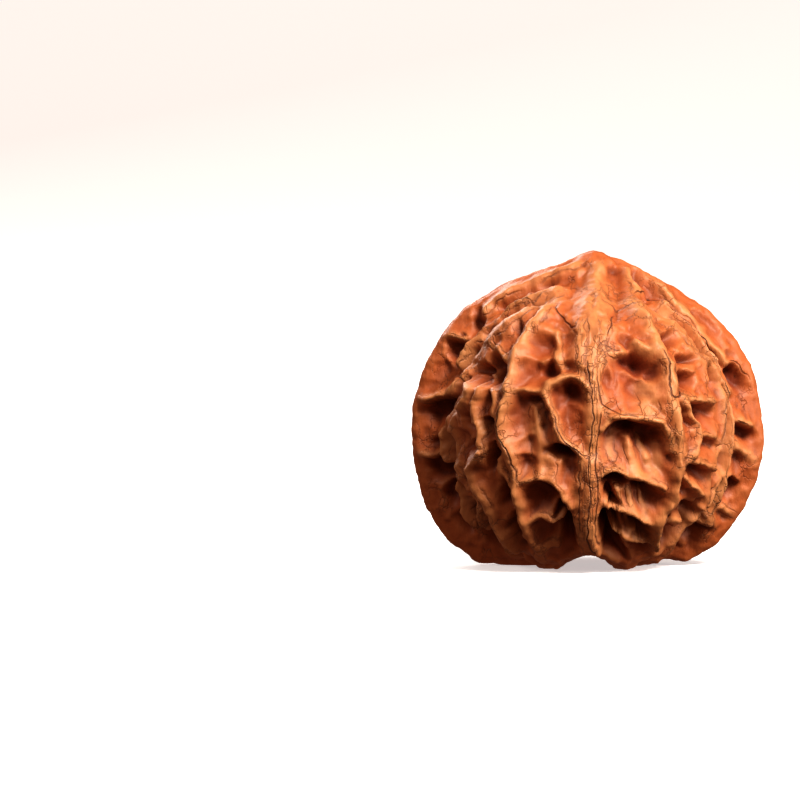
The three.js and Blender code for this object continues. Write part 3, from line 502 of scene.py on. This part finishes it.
# Relief of a half at places seen from its own side: its height, how deep in a hollow the place
# is, how near a crest, the nearest crack as a signed distance with a strength, and the signed
# distance from the side of the nearest rib.
def reliefAt(half, across, up, ragged):
    filled = np.zeros(len(across))
    raised = np.zeros(len(across))
    crest = np.zeros(len(across))
    edge = np.full(len(across), 9.0)
    for halfWidth, rise, fill, line in half["ribs"]:
        distance = lineDistance(line, across, up)[0] * (1 + relief["ribRagged"] * ragged)
        beside = distance - 0.85 * halfWidth
        edge = np.where(abs(beside) < abs(edge), beside, edge)
        far = distance / halfWidth
        near = np.exp(-(far**2))
        footing = relief["footing"] * rise * 2 * np.exp(-((far / relief["footingSpread"]) ** 2))
        filled = np.maximum(filled, fill * near)
        raised = np.maximum(raised, rise * near + footing)
        crest = np.maximum(crest, near)
    raised -= relief["valley"]
    hollow = (1 - filled) * hollowDepth(half["hollows"], across, up, ragged)
    crackFar = np.full(len(across), 9.0)
    crackSigned = np.full(len(across), 9.0)
    crackStrength = np.zeros(len(across))
    for strength, line in half["cracks"]:
        far, side = lineDistance(line, across, up)
        ends = np.minimum(*(np.hypot(across - x, up - z) for x, z in (line[0], line[-1])))
        nearer = far < crackFar
        crackFar = np.where(nearer, far, crackFar)
        crackSigned = np.where(nearer, far * side, crackSigned)
        here = strength * smoothStep(ends, 0.1, 0.8) * np.exp(-((far / 0.5) ** 2))
        crackStrength = np.where(nearer, here, crackStrength)
    return np.stack([raised - hollow, hollow, crest, crackSigned, crackStrength, edge])


# Ribs that run in to the scar or up to the tip: the cosine of so many times the angle, with a sine
# of twice the angle added to space them unevenly, and a share of the distance to twist them.
def spokes(ribs, x, y):
    out = np.hypot(x, y)
    angle = np.arctan2(y, x)
    uneven = spokeShape["uneven"] * np.sin(2 * angle + spokeShape["start"])
    wave = np.cos(ribs["count"] * angle + uneven + spokeShape["twist"] * out)
    begun = smoothStep(out, ribs["inner"] - 1.5, ribs["inner"] + 1)
    ended = smoothStep(out, ribs["outer"], ribs["outer"] + 5)
    return ribs["height"] * begun * (1 - ended) * (wave - spokeShape["sink"])


# Directions on a cube of cells x cells patches, spread evenly by the tangent, with the patches'
# shared edges joined into one closed net of quads.
def cubeNet(cells):
    steps = np.arange(cells + 1)
    first, second = (grid.ravel() for grid in np.meshgrid(steps, steps, indexing="ij"))
    corners = []
    for axis in range(3):
        for end in (0, cells):
            place = np.empty((len(first), 3), int)
            place[:, axis] = end
            place[:, (axis + 1) % 3] = first if end else second
            place[:, (axis + 2) % 3] = second if end else first
            corners.append(place)
    places = np.concatenate(corners)
    unique, index = np.unique(places, axis=0, return_inverse=True)
    index = index.reshape(6, cells + 1, cells + 1)
    near, far = index[:, :-1], index[:, 1:]
    quads = np.stack([near[..., :-1], far[..., :-1], far[..., 1:], near[..., 1:]], axis=-1)
    d = np.tan((unique / cells * 2 - 1) * math.pi / 4)
    return d / np.linalg.norm(d, axis=1, keepdims=True), quads.reshape(-1, 4)


# How far each vertex lies below the mean of its surroundings, after some rounds of averaging.
def cavityOf(lift, quads, rounds, reach):
    ends = np.concatenate([quads[:, [0, 1]], quads[:, [1, 2]], quads[:, [2, 3]], quads[:, [3, 0]]])
    count = np.bincount(ends.ravel(), minlength=len(lift))
    mean = lift
    for _ in range(rounds):
        total = np.bincount(ends[:, 0], mean[ends[:, 1]], len(lift))
        total += np.bincount(ends[:, 1], mean[ends[:, 0]], len(lift))
        mean = 0.5 * mean + 0.5 * total / count
    return np.clip((mean - lift) / reach, -1, 1)


# The shell: each direction's place on the smooth body, moved out along the body's normal by the
# relief, and down by a share of it, so that raised parts hang over the hollows.
def shellSurface():
    d, quads = cubeNet(relief["cells"])
    base = bodyPoint(d)
    normal = bodyNormal(d)
    x, y, z = base.T
    depth = abs(y)
    turned = np.where(y < 0, 1, -1)
    wander = [
        relief["wander"] * wobble(base, relief["wanderSize"], bendSeed)
        + relief["fray"] * wobble(base, relief["fraySize"], fraySeed)
        for bendSeed, fraySeed in zip(seeds["wander"], seeds["fray"])
    ]
    ragged = relief["ragged"] * wobble(base, relief["raggedSize"], seeds["ragged"])
    across = turned * x + relief["sightSide"] * depth + wander[0]
    up = z + body["middle"] - relief["sightRise"] * depth + wander[1]
    aside = np.sign(x) * turned * (relief["flankCentre"] - depth) + wander[0]
    flank = 1 - smoothStep(abs(normal[:, 1]), 0.15, 0.45)
    marks = np.zeros((6, len(d)))
    for own, other, inHalf in (("front", "back", y < 0), ("back", "front", y >= 0)):
        seen = reliefAt(halves[own], across[inHalf], up[inHalf], ragged[inHalf])
        beside = reliefAt(halves[other], aside[inHalf], up[inHalf], ragged[inHalf])
        marks[:, inHalf] = seen * (1 - flank[inHalf]) + beside * flank[inHalf]
    offBlade = smoothStep(depth, 0.6, 3)
    offTip = 1 - smoothStep(z + body["middle"], body["height"] - 2.5, body["height"] - 0.6)
    beneath = smoothStep(-normal[:, 2], 0.7, 0.97)
    above = smoothStep(normal[:, 2], 0.7, 0.95)
    laid = offBlade * offTip * (1 - beneath)
    height, hollow, crest, crackSigned, crackStrength, edge = marks
    lift = np.maximum(height * offBlade * offTip, -0.75 * depth) * (1 - beneath)
    lift += spokes(rootRibs, x, y) * beneath + spokes(neckRibs, x, y) * above
    lumps = relief["lumps"] * wobble(base, relief["lumpSize"], seeds["lumps"])
    threads = 1 - abs(wobble(base, relief["veinSize"], seeds["veins"])) * 3
    veins = relief["veins"] * np.clip(threads, 0, 1) ** 2
    bend = relief["wrinkleBend"] * wobble(base, relief["wrinkleBendSize"], seeds["wrinkleBend"])
    drawnOut = base * (1, 1, relief["wrinkleStretch"]) + bend[:, None]
    wrinkles = relief["wrinkles"] * wobble(drawnOut, relief["wrinkleSize"], seeds["wrinkles"])
    fine = relief["fine"] * wobble(base, relief["fineSize"], seeds["fine"])
    lift += (lumps + veins + wrinkles) * (0.3 + 0.7 * offBlade) + fine
    stray = relief["sutureWander"] * wobble(base, relief["sutureWanderSize"], seeds["suture"])
    suture = np.exp(-((y + stray) ** 2) / relief["sutureHalfWidth"] ** 2)
    lift -= relief["suture"] * suture * smoothStep(z + body["middle"], 1, 4)
    down = np.array([[0, 0, -1]]) + normal * normal[:, 2:3]
    place = base + normal * lift[:, None] + down * (relief["droop"] * lift)[:, None]
    place[:, 2] += body["middle"]
    place[:, 0] += body["tipLean"] * smoothStep(place[:, 2], body["height"] - 8, body["height"])
    place[:, 2] = np.clip(place[:, 2], 0, body["height"])
    # Shares of the colours and strengths of the lines, which the finish reads as attributes.
    hollowTone, crestTone = (
        wobble(base, relief["toneSize"], seeds[name]) for name in ("hollowTone", "crestTone")
    )
    netPatch, edgePatch = (
        wobble(base, relief["patchSize"], seeds[name]) for name in ("netPatch", "edgePatch")
    )
    # Painted shade: hollows get the pit colour by depth, and the near-black deep colour where
    # deepest.
    inHollow = np.clip(hollow * laid / 5 + 0.07 * hollowTone, 0, 1)
    # Painted shade: the deep colour where the surface lies below its surroundings, as occlusion
    # darkens it.
    narrow, middle, broad = (cavityOf(lift, quads, *dip) for dip in dips.values())
    cavityShade = np.maximum(np.maximum(middle, narrow), 1.2 * broad)
    facts = {
        "pitShare": np.clip(inHollow / 0.4, 0, 1),
        "deepShare": np.clip((inHollow - 0.45) / 0.5, 0, 1),
        # Painted highlight: the lighter crest colour on the ribs and on parts that stand proud.
        "crestShare": np.clip(crest * laid * (0.75 + 0.25 * crestTone), 0, 1),
        "cavityShadeShare": np.clip(0.7 * cavityShade, 0, 1),
        "raisedLightShare": np.clip(-0.6 * middle, 0, 1),
        "sutureShare": 0.5 * suture,
        "crackSigned": crackSigned,
        "crackStrength": crackStrength * laid,
        # Painted shade: dark lines along the sides of the ribs, in patches.
        "edgeSigned": edge,
        "edgeStrength": laid * smoothStep(edgePatch, -0.2, 0.35),
        "netStrength": smoothStep(netPatch, 0.05, 0.35) * np.clip(1 - hollow, 0, 1) * laid,
    }
    return place * mm, quads, facts


def makeMesh(name, places, quads, facts=None):
    mesh = bpy.data.meshes.new(name)
    mesh.vertices.add(len(places))
    mesh.vertices.foreach_set("co", places.astype(np.float32).ravel())
    mesh.loops.add(quads.size)
    mesh.loops.foreach_set("vertex_index", quads.astype(np.int32).ravel())
    mesh.polygons.add(len(quads))
    mesh.polygons.foreach_set("loop_start", np.arange(0, quads.size, 4, dtype=np.int32))
    mesh.polygons.foreach_set("use_smooth", np.ones(len(quads), bool))
    for label, values in (facts or {}).items():
        layer = mesh.attributes.new(label, "FLOAT", "POINT")
        layer.data.foreach_set("value", values.astype(np.float32))
    mesh.update(calc_edges=True)
    mesh.validate()
    thing = bpy.data.objects.new(name, mesh)
    bpy.context.scene.collection.objects.link(thing)
    return thing


def linear(hexColour):
    channels = [int(hexColour[i : i + 2], 16) / 255 for i in (1, 3, 5)]
    return [*(c / 12.92 if c <= 0.04045 else ((c + 0.055) / 1.055) ** 2.4 for c in channels), 1]


# Adds a node, sets its properties and its sockets (by name, or i0, i1 ... by number), and links
# those that are given as another node's output.
def addNode(tree, kind, settings=None, **sockets):
    node = tree.nodes.new(kind)
    for key, value in (settings or {}).items():
        setattr(node, key, value)
    for key, value in sockets.items():
        numbered = key[0] == "i" and key[1:].isdigit()
        socket = node.inputs[int(key[1:]) if numbered else key]
        if isinstance(value, bpy.types.NodeSocket):
            tree.links.new(value, socket)
        else:
            socket.default_value = value
    return node


# Dry walnut shell, brushed clean and rolled in the hand for years: a hard, reddish brown skin
# with a low polish on the ribs and duller hollows; the darker hollows and lighter ribs are painted
# shade and painted highlight.
shellFinish = {
    "middle": "#b1602f",
    # crest: a lighter colour painted on the ribs and proud parts as a highlight
    "crest": "#c48856",
    # pit: painted shade in the hollows, and also the colour of the random flecks
    "pit": "#944018",
    # deep: near-black painted shade in the deepest hollows and dips
    "deep": "#521509",
    "crack": "#58220c",
    "sheen": "#ffeedd",  # the oil of the hand warms the gloss
    "roughnessCrest": 0.52,
    "roughnessPit": 0.75,
    "mottleSize": 1.3,
    "poreSize": 0.45,
    "fibreSize": 0.55,
    "fibreStretch": 0.3,
    "netSize": 1.6,
    "netStretch": 0.55,
    "netBend": 1.6,
    "netBendSize": 1.1,
    "netHalfWidth": 0.05,
    "netShare": 0.33,
    "lineFraySize": 0.6,
    "cutDepth": 0.12,
    "bump": 0.85,
    "mottleShare": 0.45,
    "poreRise": 0.35,
    "fibreRise": 0.9,
    "roughnessSpread": 0.12,
    "ior": 1.5,
    "coat": 0.15,
    "coatRoughness": 0.4,
}

# Drawn lines: half width, how far they fray, their share of the crack colour, and their depth.
shellLines = {
    "crack": {"halfWidth": 0.13, "fray": 0.2, "share": 0.95, "cut": 2},
    # edge: painted shade along the sides of the ribs, also cut in as a shallow groove by the bump
    "edge": {"halfWidth": 0.14, "fray": 0.4, "share": 0.45, "cut": 1},
}


def playedShell():
    look = shellFinish
    material = bpy.data.materials.new("playedWalnutShell")
    material.use_nodes = True
    tree = material.node_tree
    skin = tree.nodes["Principled BSDF"]
    skin.inputs["IOR"].default_value = look["ior"]
    skin.inputs["Specular Tint"].default_value = linear(look["sheen"])
    skin.inputs["Coat Weight"].default_value = look["coat"]
    skin.inputs["Coat Roughness"].default_value = look["coatRoughness"]
    place = addNode(tree, "ShaderNodeTexCoord").outputs["Object"]

    # The colours are laid over one another, each by its own share: pit and deep paint shade into
    # the hollows and dips, crest paints a highlight on ribs and proud parts, and suture is the
    # seam's own line.
    layers = [("pit", "pit"), ("deep", "deep"), ("crest", "crest")]
    layers += [("cavityShade", "deep"), ("raisedLight", "crest"), ("suture", "crack")]
    mixed = {"data_type": "RGBA"}
    tone = linear(look["middle"])
    for layer, colour in layers:
        read = addNode(tree, "ShaderNodeAttribute", {"attribute_name": layer + "Share"})
        share, over = read.outputs["Fac"], linear(look[colour])
        tone = addNode(tree, "ShaderNodeMix", mixed, i0=share, i6=tone, i7=over).outputs[2]
    noise = {"Vector": place, "Scale": 1 / (look["mottleSize"] * mm), "Detail": 4}
    mottle = addNode(tree, "ShaderNodeTexNoise", **noise, Roughness=0.65).outputs["Fac"]
    flecks = {"i1": 0.5, "i2": 0.85, "i4": look["mottleShare"]}
    share = addNode(tree, "ShaderNodeMapRange", i0=mottle, **flecks).outputs[0]
    over = linear(look["pit"])
    tone = addNode(tree, "ShaderNodeMix", mixed, i0=share, i6=tone, i7=over).outputs[2]

    # Pores, and fibres that run down the nut.
    product = {"operation": "MULTIPLY"}
    productAndSum = {"operation": "MULTIPLY_ADD"}
    noise = {"Vector": place, "Scale": 1 / (look["poreSize"] * mm), "Detail": 4}
    pores = addNode(tree, "ShaderNodeTexNoise", **noise).outputs["Fac"]
    rise = addNode(tree, "ShaderNodeMath", product, i0=pores, i1=look["poreRise"]).outputs[0]
    stretch = (1, 1, look["fibreStretch"])
    drawnOut = addNode(tree, "ShaderNodeMapping", Vector=place, Scale=stretch).outputs[0]
    noise = {"Vector": drawnOut, "Scale": 1 / (look["fibreSize"] * mm), "Detail": 5}
    fibres = addNode(tree, "ShaderNodeTexNoise", **noise, Roughness=0.6).outputs["Fac"]
    summed = {"i0": fibres, "i1": look["fibreRise"], "i2": rise}
    relieved = addNode(tree, "ShaderNodeMath", productAndSum, **summed).outputs[0]

    # A line is where its signed distance, frayed by fine noise, is within its half width.
    over = linear(look["crack"])
    clamped = {"operation": "MULTIPLY", "use_clamp": True}
    for name, line in shellLines.items():
        signed, strength = (
            addNode(tree, "ShaderNodeAttribute", {"attribute_name": name + fact}).outputs["Fac"]
            for fact in ("Signed", "Strength")
        )
        noise = {"Vector": place, "Scale": 1 / (look["lineFraySize"] * mm), "Detail": 3}
        fine = addNode(tree, "ShaderNodeTexNoise", **noise).outputs["Fac"]
        reach = line["fray"] / 2
        fray = addNode(tree, "ShaderNodeMapRange", i0=fine, i3=-reach, i4=reach).outputs[0]
        frayed = addNode(tree, "ShaderNodeMath", {"operation": "ADD"}, i0=signed, i1=fray)
        away = addNode(tree, "ShaderNodeMath", {"operation": "ABSOLUTE"}, i0=frayed.outputs[0])
        ramp = {"i0": away.outputs[0], "i2": line["halfWidth"], "i3": 1, "i4": 0}
        thin = addNode(tree, "ShaderNodeMapRange", **ramp).outputs[0]
        drawn = addNode(tree, "ShaderNodeMath", clamped, i0=thin, i1=strength).outputs[0]
        share = addNode(tree, "ShaderNodeMath", product, i0=drawn, i1=line["share"]).outputs[0]
        tone = addNode(tree, "ShaderNodeMix", mixed, i0=share, i6=tone, i7=over).outputs[2]
        summed = {"i0": drawn, "i1": -line["cut"], "i2": relieved}
        relieved = addNode(tree, "ShaderNodeMath", productAndSum, **summed).outputs[0]

    # A net of fine cracks: the edges of bent, drawn-out cells, in patches.
    stretch = (1, 1, look["netStretch"])
    stretched = addNode(tree, "ShaderNodeMapping", Vector=place, Scale=stretch).outputs[0]
    noise = {"Vector": place, "Scale": 1 / (look["netBendSize"] * mm), "Detail": 3}
    bend = addNode(tree, "ShaderNodeTexNoise", **noise).outputs["Color"]
    summed = {"i0": bend, "i1": (look["netBend"] * mm,) * 3, "i2": stretched}
    bentPlace = addNode(tree, "ShaderNodeVectorMath", productAndSum, **summed).outputs[0]
    net = {"Vector": bentPlace, "Scale": 1 / (look["netSize"] * mm)}
    toEdge = {"feature": "DISTANCE_TO_EDGE"}
    far = addNode(tree, "ShaderNodeTexVoronoi", toEdge, **net).outputs["Distance"]
    ramp = {"i0": far, "i2": look["netHalfWidth"], "i3": 1, "i4": 0}
    thin = addNode(tree, "ShaderNodeMapRange", **ramp).outputs[0]
    read = addNode(tree, "ShaderNodeAttribute", {"attribute_name": "netStrength"})
    strength = read.outputs["Fac"]
    drawn = addNode(tree, "ShaderNodeMath", product, i0=thin, i1=strength).outputs[0]
    share = addNode(tree, "ShaderNodeMath", product, i0=drawn, i1=look["netShare"]).outputs[0]
    tone = addNode(tree, "ShaderNodeMix", mixed, i0=share, i6=tone, i7=over).outputs[2]
    less = {"operation": "SUBTRACT"}
    cut = addNode(tree, "ShaderNodeMath", less, i0=relieved, i1=drawn).outputs[0]
    tree.links.new(tone, skin.inputs["Base Color"])

    # The ribs are polished by the hand, the hollows stay dull, and the pores vary both a little.
    read = addNode(tree, "ShaderNodeAttribute", {"attribute_name": "pitShare"})
    spread = look["roughnessSpread"]
    polished, raw = (look[name] - spread / 2 for name in ("roughnessCrest", "roughnessPit"))
    ramp = {"i0": read.outputs["Fac"], "i3": polished, "i4": raw}
    dull = addNode(tree, "ShaderNodeMapRange", **ramp).outputs[0]
    rough = addNode(tree, "ShaderNodeMath", productAndSum, i0=pores, i1=spread, i2=dull)
    tree.links.new(rough.outputs[0], skin.inputs["Roughness"])
    depth = look["cutDepth"] * mm
    bump = addNode(tree, "ShaderNodeBump", Strength=look["bump"], Distance=depth, Height=cut)
    tree.links.new(bump.outputs[0], skin.inputs["Normal"])
    return material


places, quads, facts = shellSurface()
shell = makeMesh("walnutShell", places, quads, facts)
shell.data.materials.append(playedShell())
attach(shell, "root")
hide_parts("walnut_shell")
print("shell laid:", len(quads) * 2, "triangles")

# A pale floor that curves up behind the nut and glows a little, as a light table does.
floorShape = {"front": 1500, "flat": 900, "bend": 500, "rise": 1200, "halfWidth": 1800, "gap": 0.03}


# The floor's profile, carried sideways: level, then a quarter circle, then straight up.
def sweepSurface():
    front, flat, bend, rise = (floorShape[key] for key in ("front", "flat", "bend", "rise"))
    turn = np.linspace(0, math.pi / 2, 24)
    ahead = np.concatenate([[-front], flat + bend * np.sin(turn), [flat + bend]])
    up = np.concatenate([[0], bend * (1 - np.cos(turn)), [bend + rise]]) - floorShape["gap"]
    aside = np.linspace(-1, 1, 5) * floorShape["halfWidth"]
    rows, columns = len(ahead), len(aside)
    places = np.empty((rows, columns, 3))
    places[..., 0] = aside[None, :]
    places[..., 1] = ahead[:, None]
    places[..., 2] = up[:, None]
    index = np.arange(rows * columns).reshape(rows, columns)
    near, far = index[:-1], index[1:]
    quads = np.stack([near[:, :-1], near[:, 1:], far[:, 1:], far[:, :-1]], axis=-1)
    return places.reshape(-1, 3) * mm, quads.reshape(-1, 4)


def glowingBoard():
    material = bpy.data.materials.new("glowingWhiteBoard")
    material.use_nodes = True
    board = material.node_tree.nodes["Principled BSDF"]
    board.inputs["Base Color"].default_value = linear("#f4f3f1")
    board.inputs["Roughness"].default_value = 0.9
    board.inputs["Emission Color"].default_value = (1, 1, 1, 1)
    board.inputs["Emission Strength"].default_value = 0.55
    return material


floor = makeMesh("studioFloor", *sweepSurface())
floor.data.materials.append(glowingBoard())
floor.visible_glossy = False  # these two keep its glow off the nut, as a black card would
floor.visible_diffuse = False

# Plain soft light: a large lamp high on the right in front, a weak one behind on the left, one low
# on the right, and a faint one high on the left.
lamps = {
    "key": {"place": (330, -480, 620), "size": 300, "power": 12.6, "colour": (1, 0.97, 0.93)},
    "behind": {"place": (-350, 650, 500), "size": 500, "power": 6, "colour": (1, 0.98, 0.96)},
    "low": {"place": (700, -250, 120), "size": 400, "power": 4, "colour": (1, 0.97, 0.93)},
    "left": {"place": (-480, -400, 520), "size": 250, "power": 1.3, "colour": (1, 0.95, 0.9)},
}
for name, lamp in lamps.items():
    light = bpy.data.lights.new(name, "AREA")
    light.energy = lamp["power"]
    light.size = lamp["size"] * mm
    light.color = lamp["colour"]
    thing = bpy.data.objects.new(name, light)
    thing.location = Vector(lamp["place"]) * mm
    aim = Vector((0, 0, 18)) * mm - thing.location
    thing.rotation_euler = aim.to_track_quat("-Z", "Y").to_euler()
    bpy.context.scene.collection.objects.link(thing)

world = bpy.data.worlds.new("paleRoom")
world.use_nodes = True
# The room is pale to look at and dim as a light, as in a studio whose walls are far away.
seen = addNode(world.node_tree, "ShaderNodeLightPath").outputs["Is Camera Ray"]
room = world.node_tree.nodes["Background"]
roomLook = {"asLight": (0.22, 0.12, 0.08, 1), "toLookAt": (0.9, 0.9, 0.9, 1)}
colours = {"i6": roomLook["asLight"], "i7": roomLook["toLookAt"]}
tint = addNode(world.node_tree, "ShaderNodeMix", {"data_type": "RGBA"}, i0=seen, **colours)
world.node_tree.links.new(tint.outputs[2], room.inputs[0])
bpy.context.scene.world = world
bpy.context.scene.view_settings.view_transform = "Standard"
bpy.context.scene.view_settings.gamma = 0.8

# The photograph's view: a long lens a little above the level, with the nut right of the middle.
view = {"aim": (-23.9, 0, 21.1), "distance": 800, "elevation": 3, "frameWidth": 102.3}
camera = bpy.data.objects.new("camera", bpy.data.cameras.new("camera"))
camera.data.sensor_width = 36
camera.data.lens = 36 * view["distance"] / view["frameWidth"]
tilt = math.radians(view["elevation"])
away = Vector((0, -math.cos(tilt), math.sin(tilt)))
camera.location = (Vector(view["aim"]) + away * view["distance"]) * mm
camera.rotation_euler = (-away).to_track_quat("-Z", "Y").to_euler()
camera.data.clip_start = 0.05
camera.data.clip_end = 20
bpy.context.scene.collection.objects.link(camera)
bpy.context.scene.camera = camera
print("studio set")
